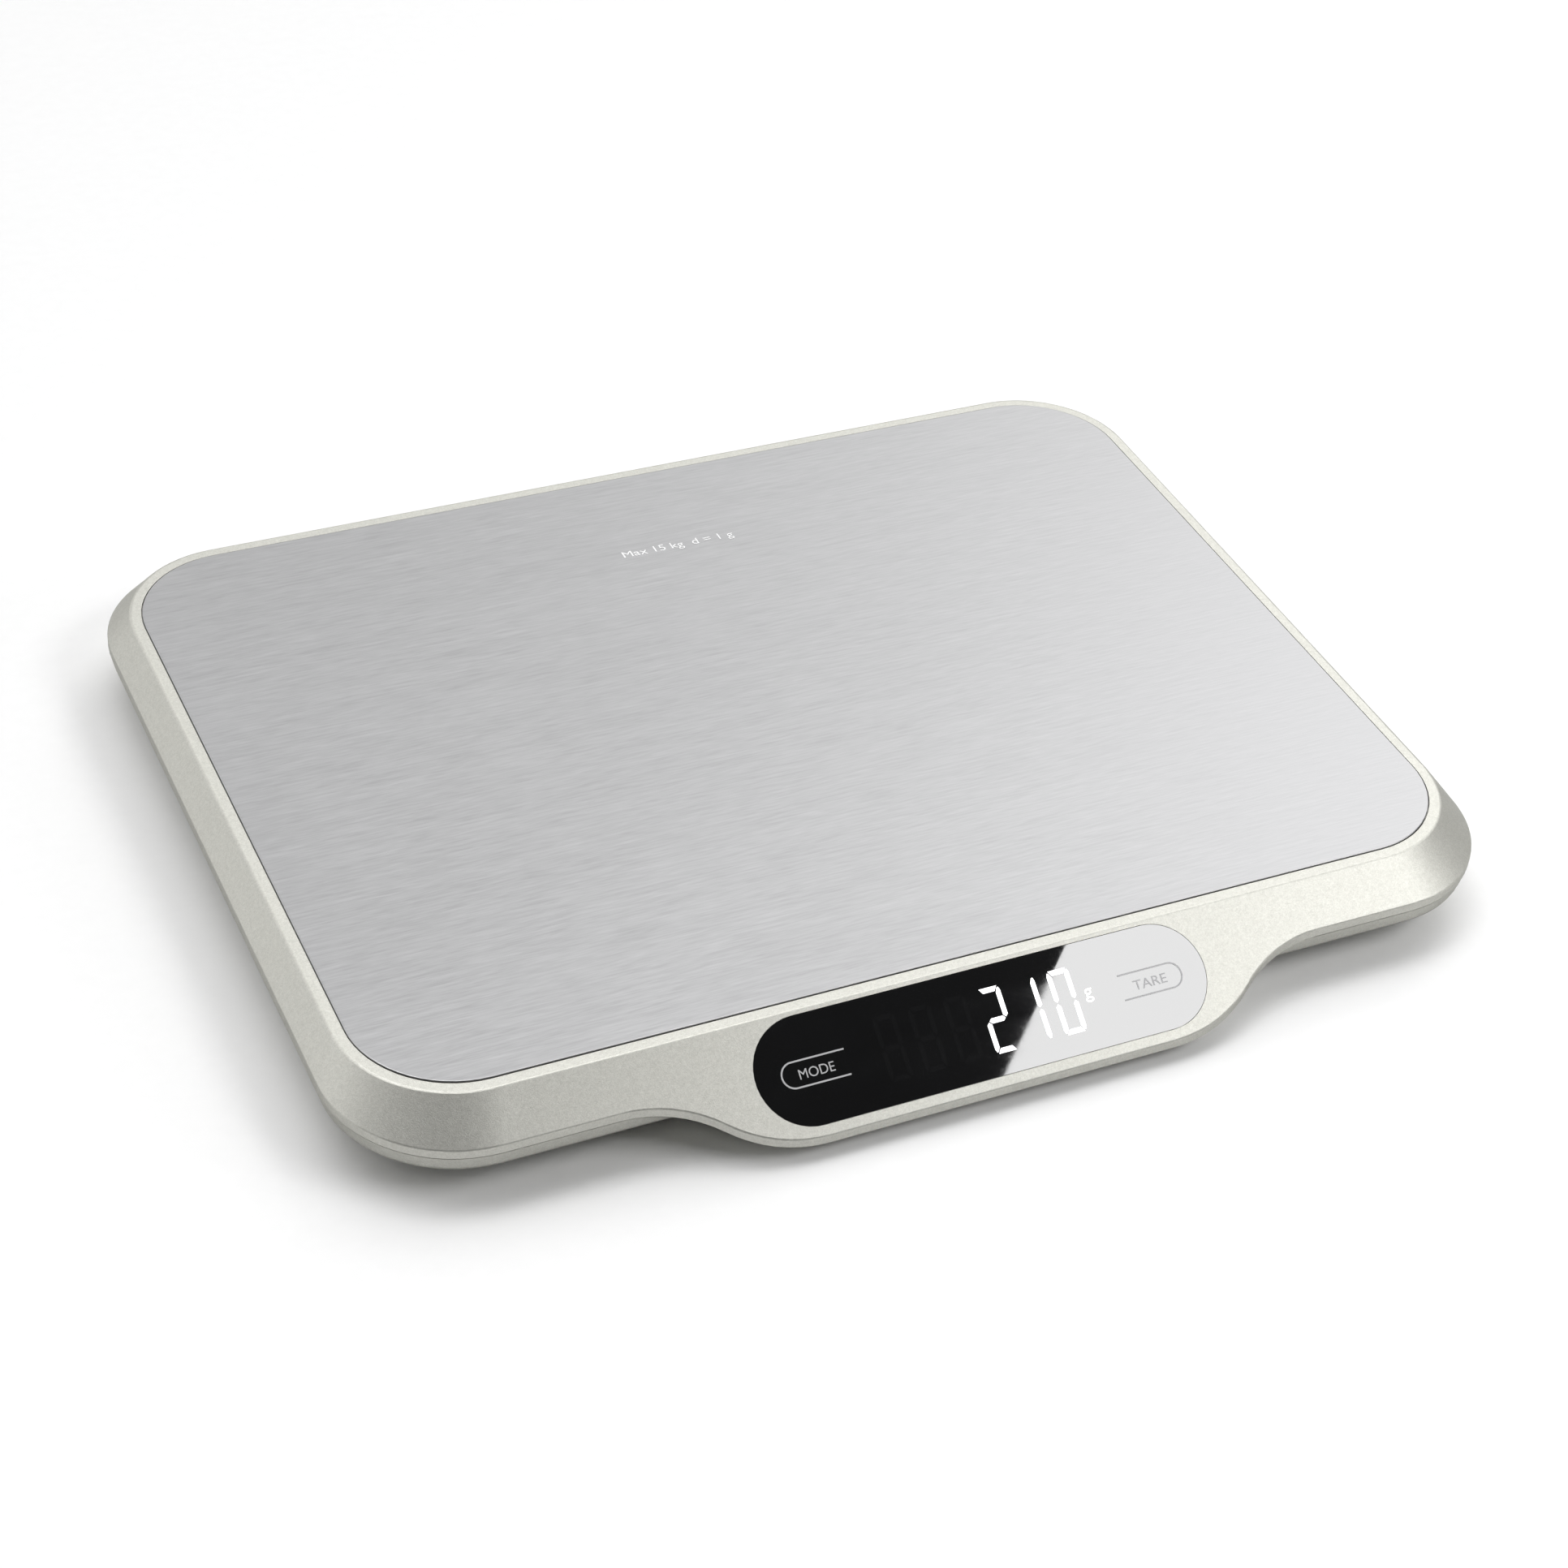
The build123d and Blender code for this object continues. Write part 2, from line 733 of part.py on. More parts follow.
def make_cell_frame(corner):
    """Moulded frame under and around the cell, with two hooks over its rim and two screw ears."""
    x, y = foot_place(corner)
    seat = cell_size - 2 * frame_ledge
    pocket = cell_size + 2 * cell_fit
    frame = extrude(RectangleRounded(frame_size, frame_size, cell_corner), amount=frame_top - floor_top)
    ear_y = frame_size / 2 + ear_reach
    for end in (-1, 1):
        ear = Pos(0, end * ear_y) * Circle(ear_radius)
        ear += Pos(0, end * (ear_y - ear_radius / 2)) * Rectangle(2 * ear_radius, ear_radius)
        ear -= Pos(0, end * ear_y) * Circle(screw_hole)
        frame += Pos(0, 0, frame_top - floor_top - ear_thick) * extrude(ear, amount=ear_thick)
    frame -= extrude(Rectangle(seat, seat), amount=frame_top)
    frame -= Pos(0, 0, cell_z - floor_top) * extrude(Rectangle(pocket, pocket), amount=frame_top)
    hook_low = cell_z + cell_thick + hook_gap
    for end in (-1, 1):
        hook = Pos(0, end * (pocket - hook_reach) / 2) * Rectangle(hook_width, hook_reach)
        frame += Pos(0, 0, hook_low - floor_top) * extrude(hook, amount=frame_top - hook_low)
    return Pos(x, y, floor_top) * frame


def make_frame_screws():
    z = frame_top + small_screw_head
    return [small_screw(downwards(foot_place(corner)[0], ear_y, z))
            for corner in corners for ear_y in ear_places(foot_place(corner)[1])]


def make_foot_shell(corner):
    """Round foot with a stem that bears on the load cell's tongue."""
    x, y = foot_place(corner)
    disc = extrude(Circle(foot_radius), amount=foot_top - pad_recess)
    disc = fillet(disc.edges().group_by(Axis.Z)[0], foot_edge_round)
    disc += Pos(0, 0, foot_top - pad_recess) * extrude(Circle(foot_stem_radius), amount=cell_z - foot_top)
    disc -= extrude(Circle(pad_disc_radius), amount=pad_disc_thick - pad_recess)
    return Pos(x, y, pad_recess) * disc


def make_foot_pad(corner):
    x, y = foot_place(corner)
    pad = extrude(Circle(pad_disc_radius), amount=pad_disc_thick)
    return Pos(x, y) * fillet(pad.edges().group_by(Axis.Z)[0], pad_edge_round)


# ---------------------------------------------------------------- batteries
def battery_place(k):
    return bay_y + (k - (aaa_count - 1) / 2) * battery_pitch


def make_battery_cell(k):
    """Cell along X: its flat end faces left on even places and right on odd ones."""
    turn = 90 if k % 2 == 0 else -90
    side = 1 if k % 2 == 0 else -1
    can_length = aaa_length - aaa_nub
    can_body = fillet(extrude(Circle(aaa_radius), amount=can_length).edges(), aaa_edge_round)
    cell = can_body + Pos(0, 0, can_length) * extrude(Circle(aaa_nub_radius), amount=aaa_nub)
    flat_x = -side * (bay_length / 2 - contact_thick - spring_gap)
    return Pos(flat_x, battery_place(k), bay_z) * Rot(0, turn, 0) * cell


def make_battery_springs():
    """Coil at the flat end of each cell."""
    pitch = (spring_gap - 2 * spring_wire) / spring_turns
    springs = []
    for k in range(aaa_count):
        side = 1 if k % 2 == 0 else -1
        path = Helix(pitch=pitch, height=spring_gap - 2 * spring_wire, radius=spring_radius)
        coil = sweep(Plane(origin=path @ 0, z_dir=path % 0) * Circle(spring_wire), path=path, is_frenet=True)
        start = -side * (bay_length / 2 - contact_thick - spring_wire)
        springs.append(Pos(start, battery_place(k), bay_z) * Rot(0, 90 * side, 0) * coil)
    return springs


def make_battery_contacts():
    """Sprung-steel strips on the bay's end walls that chain the cells together."""
    last = aaa_count - 1
    spans = [(-1, 0, 0)] + [(-1, k, k + 1) for k in range(1, last, 2)]
    spans += [(1, k, k + 1) for k in range(0, last, 2)] + [(1, last, last)]
    plates = []
    for side, low, high in spans:
        width = contact_width + (high - low) * battery_pitch
        y = (battery_place(low) + battery_place(high)) / 2
        x = side * (bay_length - contact_thick) / 2
        plates.append(Pos(x, y, bay_z) * Box(contact_thick, width, contact_width))
    return plates


def make_battery_door():
    """Flat lid that hangs on two moulded pins at its back edge and snaps shut at its front."""
    length = hinge_y - door_front
    plate = Pos(0, door_front + length / 2, hinge_z) * Box(door_length, length, door_thick)
    plate += Pos(0, hinge_y, hinge_z) * Rot(0, 90, 0) * Cylinder(hinge_radius, door_length)
    pin_length = door_length + 2 * hinge_pin_reach
    plate += Pos(0, hinge_y, hinge_z) * Rot(0, 90, 0) * Cylinder(hinge_pin_radius, pin_length)
    for side in (-1, 1):
        x = side * (latch_width + latch_slot) / 2
        slot = Box(latch_slot, latch_length, 2 * door_thick)
        plate -= Pos(x, door_front + latch_length / 2, hinge_z) * slot
    for k in range(grip_count):
        y = door_front + (k + 1) * latch_length / (grip_count + 1)
        groove = Box(grip_width, latch_slot, 2 * grip_depth)
        plate -= Pos(0, y, bottom_z) * groove
    return plate


# ---------------------------------------------------------------- export
def every_piece():
    pieces = {
        "weighing_plate": make_weighing_plate(),
        "plate_adhesive": make_plate_adhesive(),
        "top_cover": make_top_cover(),
        "bottom_cover": make_bottom_cover(),
        "underside_label": make_underside_label(),
        "display_lens": make_display_lens(),
        "lens_tape": make_lens_tape(),
        "display_mask": make_display_mask(),
        "display_board": make_display_board(),
        "display_screws": make_display_screws(),
        "touch_pad_mode": make_touch_pad(-1),
        "touch_pad_tare": make_touch_pad(1),
        "main_board": make_main_board(),
        "board_chips": make_board_chips(),
        "board_screws": make_board_screws(),
        "sensor_plugs": make_sensor_plugs(),
        "ribbon_socket": make_ribbon_socket(),
        "display_ribbon": make_display_ribbon(),
        "battery_leads": make_battery_leads(),
        "battery_springs": make_battery_springs(),
        "battery_contacts": make_battery_contacts(),
        "battery_door": make_battery_door(),
        "frame_screws": make_frame_screws(),
        "cover_screws": make_cover_screws(),
    }
    for corner in corners:
        pieces["load_cell_" + corner] = make_load_cell(corner)
        pieces["cell_frame_" + corner] = make_cell_frame(corner)
        pieces["sensor_lead_" + corner] = make_sensor_lead(corner)
        pieces["foot_shell_" + corner] = make_foot_shell(corner)
        pieces["foot_pad_" + corner] = make_foot_pad(corner)
    for k in range(aaa_count):
        pieces["battery_cell_" + str(k + 1)] = make_battery_cell(k)
    return pieces


def export_all():
    os.makedirs("parts", exist_ok=True)
    move = Pos(0, plate_centre_y, 0)
    for name, shape in every_piece().items():
        solids = shape if isinstance(shape, list) else [shape]
        moved = [move * solid for solid in solids]
        export_step(moved[0] if len(moved) == 1 else Compound(moved), "parts/" + name + ".step")


export_all()
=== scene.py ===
"""Looks for a slim digital kitchen scale: steel plate, pearl housing and a glossy display tongue."""
import json
from math import cos, pi, radians, sin

import bpy
from mathutils import Matrix, Vector


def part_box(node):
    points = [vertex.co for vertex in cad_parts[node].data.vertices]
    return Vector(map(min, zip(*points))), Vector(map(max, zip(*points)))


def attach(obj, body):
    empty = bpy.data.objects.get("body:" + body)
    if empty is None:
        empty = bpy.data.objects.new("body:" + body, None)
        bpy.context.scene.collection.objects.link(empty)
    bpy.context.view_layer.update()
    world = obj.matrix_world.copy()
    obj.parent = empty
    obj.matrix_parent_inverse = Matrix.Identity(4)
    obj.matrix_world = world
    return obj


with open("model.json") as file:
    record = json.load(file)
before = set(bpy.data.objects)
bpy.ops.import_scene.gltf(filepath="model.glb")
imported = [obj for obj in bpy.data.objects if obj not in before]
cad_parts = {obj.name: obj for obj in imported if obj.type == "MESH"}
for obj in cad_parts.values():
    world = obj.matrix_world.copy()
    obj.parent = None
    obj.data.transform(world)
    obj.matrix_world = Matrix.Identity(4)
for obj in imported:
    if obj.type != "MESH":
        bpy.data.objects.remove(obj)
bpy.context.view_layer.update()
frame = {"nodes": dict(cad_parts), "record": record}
nodes = frame["nodes"]
MM = 0.001


def deselect_all():
    if bpy.context.object and bpy.context.object.mode != "OBJECT":
        bpy.ops.object.mode_set(mode="OBJECT")
    bpy.ops.object.select_all(action="DESELECT")


# ---------------------------------------------------------------- places taken from the frame
plate_low, plate_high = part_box("weighing_plate")
lens_low, lens_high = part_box("display_lens")
plate_middle = (plate_low + plate_high) / 2
plate_top = plate_high.z

front_tilt = radians(35)
lens_thick = 1.2 * MM
slope_right = Vector((1, 0, 0))
slope_up = Vector((0, cos(front_tilt), sin(front_tilt)))
slope_out = Vector((0, -sin(front_tilt), cos(front_tilt)))
lens_box_middle = (lens_low + lens_high) / 2
lens_face_middle = lens_box_middle + slope_out * lens_thick / 2


def on_lens(x, up, out):
    """A point given across, up and out of the lens's outer face, about its middle."""
    return lens_face_middle + slope_right * x + slope_up * up + slope_out * out


def lens_matrix(x, up, out):
    matrix = Matrix((slope_right, slope_up, slope_out)).transposed().to_4x4()
    matrix.translation = on_lens(x, up, out)
    return matrix


# ---------------------------------------------------------------- node trees
class Tree:
    """A material's node tree, with short calls for the nodes that these finishes use."""

    def __init__(self, name):
        self.material = bpy.data.materials.new(name)
        self.material.use_nodes = True
        self.tree = self.material.node_tree
        self.shader = self.tree.nodes["Principled BSDF"]
        self.place = self.add("ShaderNodeTexCoord").outputs["Object"]

    def add(self, kind, **settings):
        node = self.tree.nodes.new(kind)
        for key, value in settings.items():
            setattr(node, key, value)
        return node

    def join(self, output, socket):
        self.tree.links.new(output, socket)

    def stretched(self, scale):
        mapping = self.add("ShaderNodeMapping")
        mapping.inputs["Scale"].default_value = scale
        self.join(self.place, mapping.inputs["Vector"])
        return mapping.outputs["Vector"]

    def noise(self, scale, detail=3.0, roughness=0.5, stretch=(1, 1, 1), distortion=0.0):
        node = self.add("ShaderNodeTexNoise")
        node.inputs["Scale"].default_value = scale
        node.inputs["Detail"].default_value = detail
        node.inputs["Roughness"].default_value = roughness
        node.inputs["Distortion"].default_value = distortion
        self.join(self.stretched(stretch), node.inputs["Vector"])
        return node.outputs["Fac"]

    def cells(self, scale, output="Color", stretch=(1, 1, 1)):
        node = self.add("ShaderNodeTexVoronoi")
        node.inputs["Scale"].default_value = scale
        self.join(self.stretched(stretch), node.inputs["Vector"])
        return node.outputs[output]

    def ramp(self, source, low, high, start=0.0, end=1.0):
        node = self.add("ShaderNodeMapRange")
        node.inputs["From Min"].default_value = start
        node.inputs["From Max"].default_value = end
        node.inputs["To Min"].default_value = low
        node.inputs["To Max"].default_value = high
        self.join(source, node.inputs["Value"])
        return node.outputs["Result"]

    def mix(self, factor, first, second):
        node = self.add("ShaderNodeMix", data_type="RGBA")
        colours = [s for s in node.inputs if s.type == "RGBA"]
        for socket, value in zip(colours, (first, second)):
            if isinstance(value, bpy.types.NodeSocket):
                self.join(value, socket)
            else:
                socket.default_value = (*value, 1)
        self.join(factor, node.inputs["Factor"])
        return [s for s in node.outputs if s.type == "RGBA"][0]

    def math(self, operation, first, second):
        node = self.add("ShaderNodeMath", operation=operation)
        for socket, value in zip(node.inputs, (first, second)):
            if isinstance(value, bpy.types.NodeSocket):
                self.join(value, socket)
            else:
                socket.default_value = value
        return node.outputs["Value"]

    def bump(self, height, distance, strength=1.0, under=None):
        node = self.add("ShaderNodeBump")
        node.inputs["Strength"].default_value = strength
        node.inputs["Distance"].default_value = distance
        self.join(height, node.inputs["Height"])
        if under:
            self.join(under, node.inputs["Normal"])
        return node.outputs["Normal"]

    def set(self, **values):
        for name, value in values.items():
            socket = self.shader.inputs[name.replace("_", " ")]
            if isinstance(value, bpy.types.NodeSocket):
                self.join(value, socket)
            elif name.endswith(("Color", "Tint")):
                socket.default_value = (*value, 1)
            else:
                socket.default_value = value
        return self.material


# ---------------------------------------------------------------- finishes
def brushed_plate():
    """Stainless sheet with its grain along X: short fine strokes over broad soft streaks."""
    t = Tree("brushed_plate")
    hair = t.noise(1.0, detail=2.0, roughness=0.6, stretch=(170, 2600, 2600))
    strokes = t.noise(1.0, detail=3.0, roughness=0.6, stretch=(60, 1100, 1100), distortion=0.2)
    streaks = t.noise(1.0, detail=2.0, stretch=(9, 210, 210))
    clouds = t.noise(11.0, detail=2.0)
    grain = t.math("ADD", t.math("MULTIPLY", hair, 0.5), t.math("MULTIPLY", strokes, 0.5))
    soft = t.math("ADD", t.math("MULTIPLY", streaks, 0.6), t.math("MULTIPLY", clouds, 0.4))
    tone = t.math("ADD", t.math("MULTIPLY", grain, 0.8), t.math("MULTIPLY", soft, 0.2))
    colour = t.mix(t.ramp(tone, 0.0, 1.0, 0.36, 0.64), (0.355, 0.355, 0.359), (0.435, 0.435, 0.44))
    rough = t.ramp(tone, 0.30, 0.40, 0.36, 0.64)
    tangent = t.add("ShaderNodeCombineXYZ")
    tangent.inputs["X"].default_value = 1.0
    t.join(tangent.outputs["Vector"], t.shader.inputs["Tangent"])
    return t.set(Base_Color=colour, Metallic=1.0, Roughness=rough, Anisotropic=0.75,
                 Normal=t.bump(grain, 0.00003, 0.5))


def pearl_paint():
    """Warm white pearl paint: metallic flecks under a satin lacquer."""
    t = Tree("housing_paint")
    flecks = t.add("ShaderNodeSeparateColor")
    t.join(t.cells(3800.0), flecks.inputs["Color"])
    sparkle = t.ramp(flecks.outputs["Red"], 0.0, 1.0, 0.86, 1.0)
    mottle = t.noise(900.0, detail=3.0)
    level = t.math("ADD", t.ramp(flecks.outputs["Red"], -0.5, 0.5), t.ramp(mottle, -0.25, 0.25, 0.3, 0.7))
    colour = t.mix(t.ramp(level, 0.0, 1.0, -0.7, 0.7), (0.50, 0.497, 0.457), (0.62, 0.617, 0.572))
    facets = t.bump(flecks.outputs["Green"], 0.00003, 0.6)
    peel = t.bump(t.noise(260.0, detail=2.0), 0.00006, 0.12, facets)
    rough = t.ramp(sparkle, 0.46, 0.56, 0.86, 1.0)
    return t.set(Base_Color=colour, Metallic=0.8, Roughness=rough, Specular_Tint=(0.25, 0.25, 0.25),
                 Specular_IOR_Level=0.3, Coat_Weight=0.05, Coat_Roughness=0.22, Normal=peel)


def smoked(name, colour, shade):
    """Polished smoked acrylic, nearly black, with faint wipe marks in its gloss."""
    t = Tree(name)
    smears = t.noise(34.0, detail=4.0, stretch=(1, 2.4, 2.4), distortion=0.4)
    specks = t.noise(900.0, detail=1.0)
    colour = t.mix(t.ramp(smears, 0.0, 1.0, 0.4, 0.7), colour, shade)
    rough = t.math("ADD", t.ramp(smears, 0.012, 0.04, 0.42, 0.75), t.ramp(specks, 0.0, 0.01, 0.5, 0.8))
    return t.set(Base_Color=colour, Roughness=rough, IOR=2.0)


def lamp_glow(name, colour, strength, ends):
    """Light bar whose glow is a little dimmer in a fine random grain."""
    t = Tree(name)
    grain = t.noise(1600.0, detail=2.0)
    t.join(t.mix(t.ramp(grain, 0.0, 1.0, 0.3, 0.7), tuple(c * ends for c in colour), colour),
           t.shader.inputs["Emission Color"])
    return t.set(Base_Color=colour, Roughness=0.5, Emission_Strength=strength)


def screen_print(name, colour, shade):
    """Printed ink with the faint mesh of its screen."""
    t = Tree(name)
    mesh = t.cells(5200.0, "Distance")
    level = t.math("ADD", t.ramp(mesh, 0.0, 0.5), t.ramp(t.noise(300.0), 0.0, 0.5, 0.3, 0.7))
    return t.set(Base_Color=t.mix(level, shade, colour), Roughness=t.ramp(mesh, 0.5, 0.62),
                 Normal=t.bump(mesh, 0.00001, 0.4))


def moulded(name, colour, shade, rough=0.55, grain_scale=900.0, depth=0.00004):
    """Moulded plastic with a fine spark-eroded grain and slight colour drift."""
    t = Tree(name)
    grain = t.noise(grain_scale, detail=4.0, roughness=0.6)
    drift = t.noise(25.0, detail=2.0)
    level = t.math("ADD", t.ramp(grain, 0.0, 0.6, 0.3, 0.7), t.ramp(drift, 0.0, 0.4, 0.3, 0.7))
    return t.set(Base_Color=t.mix(level, shade, colour), Roughness=t.ramp(grain, rough - 0.06, rough + 0.08),
                 Normal=t.bump(grain, depth, 0.35))


def metal(name, colour, shade, rough, scale=300.0, stretch=(1, 1, 1)):
    """Plated or ground metal with fine marks."""
    t = Tree(name)
    marks = t.noise(scale, detail=4.0, roughness=0.6, stretch=stretch)
    stain = t.noise(60.0, detail=3.0)
    level = t.math("ADD", t.ramp(marks, 0.0, 0.6, 0.3, 0.7), t.ramp(stain, 0.0, 0.4, 0.3, 0.7))
    return t.set(Base_Color=t.mix(level, shade, colour), Metallic=1.0,
                 Roughness=t.ramp(marks, rough - 0.07, rough + 0.1, 0.3, 0.7),
                 Normal=t.bump(marks, 0.00002, 0.3))


def circuit_board():
    """Green solder mask over faint copper tracks."""
    t = Tree("circuit_board")
    tracks = t.add("ShaderNodeTexBrick")
    tracks.inputs["Scale"].default_value = 260.0
    tracks.inputs["Mortar Size"].default_value = 0.06
    t.join(t.stretched((1, 1, 1)), tracks.inputs["Vector"])
    weave = t.noise(1400.0, detail=2.0)
    copper = t.mix(tracks.outputs["Fac"], (0.012, 0.12, 0.045), (0.03, 0.24, 0.08))
    shade = t.mix(t.ramp(weave, 0.0, 0.5, 0.3, 0.7), copper, (0.015, 0.15, 0.06))
    return t.set(Base_Color=shade, Roughness=t.ramp(weave, 0.25, 0.4), Coat_Weight=0.4, Coat_Roughness=0.1,
                 Normal=t.bump(tracks.outputs["Fac"], 0.00003, 0.4))


def ribbon_film():
    """White flat cable with its conductors showing through as fine lines."""
    t = Tree("ribbon_film")
    lines = t.add("ShaderNodeTexWave", wave_type="BANDS", bands_direction="X")
    lines.inputs["Scale"].default_value = 300.0
    t.join(t.stretched((1, 1, 1)), lines.inputs["Vector"])
    return t.set(Base_Color=t.mix(lines.outputs["Fac"], (0.62, 0.6, 0.56), (0.88, 0.88, 0.86)),
                 Roughness=0.4, Normal=t.bump(lines.outputs["Fac"], 0.0001, 0.5))


def wire_jacket():
    """Soft red vinyl insulation with a faint drift in its colour."""
    t = Tree("wire_jacket")
    lane = t.noise(900.0, detail=1.0)
    drift = t.ramp(lane, 0.0, 1.0, 0.35, 0.65)
    return t.set(Base_Color=t.mix(drift, (0.32, 0.02, 0.015), (0.5, 0.035, 0.025)),
                 Roughness=t.ramp(lane, 0.3, 0.42), Normal=t.bump(lane, 0.00004, 0.3))


def battery_jacket():
    """Plain printed foil jacket with a pale band at one end."""
    t = Tree("battery_jacket")
    split = t.add("ShaderNodeSeparateXYZ")
    t.join(t.place, split.inputs["Vector"])
    low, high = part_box("battery_cell_1")
    band = t.ramp(split.outputs["X"], 0.0, 1.0, low.x + 9.6 * MM, low.x + 10.0 * MM)
    foil = t.noise(700.0, detail=3.0, stretch=(0.2, 1, 1))
    body = t.mix(foil, (0.03, 0.05, 0.09), (0.05, 0.08, 0.13))
    pale = t.mix(foil, (0.55, 0.56, 0.58), (0.66, 0.67, 0.69))
    return t.set(Base_Color=t.mix(band, pale, body), Metallic=0.4, Roughness=t.ramp(foil, 0.26, 0.36),
                 Coat_Weight=0.3, Coat_Roughness=0.1, Normal=t.bump(foil, 0.00002, 0.3))


finishes = {
    "brushed_plate": brushed_plate(),
    "housing_paint": pearl_paint(),
    "smoked_lens": smoked("smoked_lens", (0.0022, 0.0023, 0.0027), (0.0035, 0.0037, 0.0042)),
    "adhesive_film": moulded("adhesive_film", (0.8, 0.79, 0.72), (0.68, 0.67, 0.6), 0.7, 1500.0),
    "label_film": moulded("label_film", (0.8, 0.8, 0.8), (0.72, 0.72, 0.73), 0.4, 1200.0, 0.00001),
    "black_tape": moulded("black_tape", (0.03, 0.03, 0.03), (0.015, 0.015, 0.015), 0.6, 1600.0),
    "black_moulding": moulded("black_moulding", (0.035, 0.035, 0.038), (0.02, 0.02, 0.022), 0.5),
    "foot_moulding": moulded("foot_moulding", (0.12, 0.12, 0.125), (0.08, 0.08, 0.085), 0.5),
    "foot_rubber": moulded("foot_rubber", (0.05, 0.05, 0.05), (0.03, 0.03, 0.03), 0.78, 1300.0, 0.00008),
    "conductive_foam": moulded("conductive_foam", (0.06, 0.06, 0.065), (0.03, 0.03, 0.03), 0.85, 2500.0,
                               0.0002),
    "connector_nylon": moulded("connector_nylon", (0.82, 0.79, 0.7), (0.7, 0.67, 0.58), 0.45),
    "chip_epoxy": moulded("chip_epoxy", (0.03, 0.03, 0.033), (0.018, 0.018, 0.02), 0.45, 1500.0),
    "screw_steel": metal("screw_steel", (0.62, 0.62, 0.6), (0.42, 0.42, 0.41), 0.32, 500.0),
    "contact_nickel": metal("contact_nickel", (0.72, 0.7, 0.65), (0.5, 0.48, 0.44), 0.25, 400.0),
    "load_cell_steel": metal("load_cell_steel", (0.6, 0.6, 0.62), (0.45, 0.45, 0.47), 0.35, 250.0, (1, 8, 8)),
    "circuit_board": circuit_board(),
    "ribbon_film": ribbon_film(),
    "wire_jacket": wire_jacket(),
    "battery_jacket": battery_jacket(),
}

for part in frame["record"]["subparts"]:
    slots = nodes[part["node"]].material_slots
    for slot in slots:
        slot.material = finishes[part["material_slot"]]


# ---------------------------------------------------------------- new pieces
def finished(piece, name, material, body="housing"):
    """Names a piece, puts its place into its mesh, and makes it ride."""
    piece.name = name
    piece.data.name = name
    piece.data.transform(piece.matrix_world)
    piece.matrix_world = Matrix.Identity(4)
    piece.data.materials.clear()
    piece.data.materials.append(material)
    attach(piece, body)
    return piece


def joined(pieces):
    deselect_all()
    for piece in pieces:
        piece.select_set(True)
    bpy.context.view_layer.objects.active = pieces[0]
    if len(pieces) > 1:
        bpy.ops.object.join()
    return bpy.context.view_layer.objects.active


digit_width = 6.2 * MM
digit_height = 16.6 * MM
digit_stroke = 1.3 * MM
digit_joint = 0.42 * MM
digit_pitch = 9.6 * MM
last_digit_x = 22.4 * MM
digit_count = 6
print_thick = 0.03 * MM
print_lift = 0.01 * MM
lit = {0: "abcdef", 1: "bc", 2: "abged", 8: "abcdefg"}


def stroke_corners(letter):
    """Outline of one stroke of a figure, mitred where it meets its neighbours."""
    w, h, t, g = digit_width / 2, digit_height / 2, digit_stroke, digit_joint / 2
    top = [(-w + g + t / 3, h), (w - g - t / 3, h), (w - g - t, h - t), (-w + g + t, h - t)]
    side = [(w, h - t), (w - t / 4, h - t / 3), (w - t / 2 - g / 2, h - t / 4 - g), (w - t, h - t - 2 * g),
            (w - t, t / 2 + g), (w - t / 2, g), (w, t / 2 + g)]
    middle = [(-w + t / 2 + g, 0), (-w + t + g, t / 2), (w - t - g, t / 2), (w - t / 2 - g, 0),
              (w - t - g, -t / 2), (-w + t + g, -t / 2)]
    flips = {"a": (top, 1, 1), "d": (top, 1, -1), "g": (middle, 1, 1), "b": (side, 1, 1), "c": (side, 1, -1),
             "e": (side, -1, -1), "f": (side, -1, 1)}
    points, across, up = flips[letter]
    return [(x * across, y * up) for x, y in points]


def choose(piece, wanted, kind="VERT"):
    """Leaves edit mode open with only the chosen vertices or edges selected, found by place."""
    bpy.ops.object.mode_set(mode="EDIT")
    bpy.ops.mesh.select_mode(type=kind)
    bpy.ops.mesh.select_all(action="DESELECT")
    bpy.ops.object.mode_set(mode="OBJECT")
    points = piece.data.vertices
    if kind == "VERT":
        for vertex in points:
            vertex.select = wanted(vertex.co)
    else:
        for edge in piece.data.edges:
            edge.select = all(wanted(points[k].co) for k in edge.vertices)
    bpy.ops.object.mode_set(mode="EDIT")


def raised(piece):
    """Gives a flat outline its printed thickness and closes it."""
    bpy.ops.mesh.select_all(action="SELECT")
    bpy.ops.mesh.extrude_region_move(TRANSFORM_OT_translate={"value": (0, 0, print_thick)})
    bpy.ops.mesh.select_all(action="SELECT")
    bpy.ops.mesh.normals_make_consistent(inside=False)
    bpy.ops.object.mode_set(mode="OBJECT")
    return piece


def stroke_piece(letter):
    """One stroke: a disc with as many corners as the stroke, each corner pulled to its place, then raised."""
    corners = stroke_corners(letter)
    middle = Vector((sum(x for x, y in corners), sum(y for x, y in corners))) / len(corners)
    order = sorted(corners, key=lambda c: (Vector(c) - middle).angle_signed(Vector((1, 0))))
    deselect_all()
    bpy.ops.mesh.primitive_circle_add(vertices=len(order), radius=digit_stroke, fill_type="NGON")
    piece = bpy.context.object
    ring = sorted((v.co.copy() for v in piece.data.vertices),
                  key=lambda p: p.to_2d().angle_signed(Vector((1, 0))))
    lift = 1.0      # a corner that is placed leaves the disc's plane, so that no later search finds it
    for start, (x, y) in zip(ring, order):
        choose(piece, lambda p: (p - start).length < 1e-6)
        bpy.ops.transform.translate(value=Vector((x, y, lift)) - start)
    bpy.ops.mesh.select_all(action="SELECT")
    bpy.ops.transform.translate(value=(0, 0, -lift))
    return raised(piece)


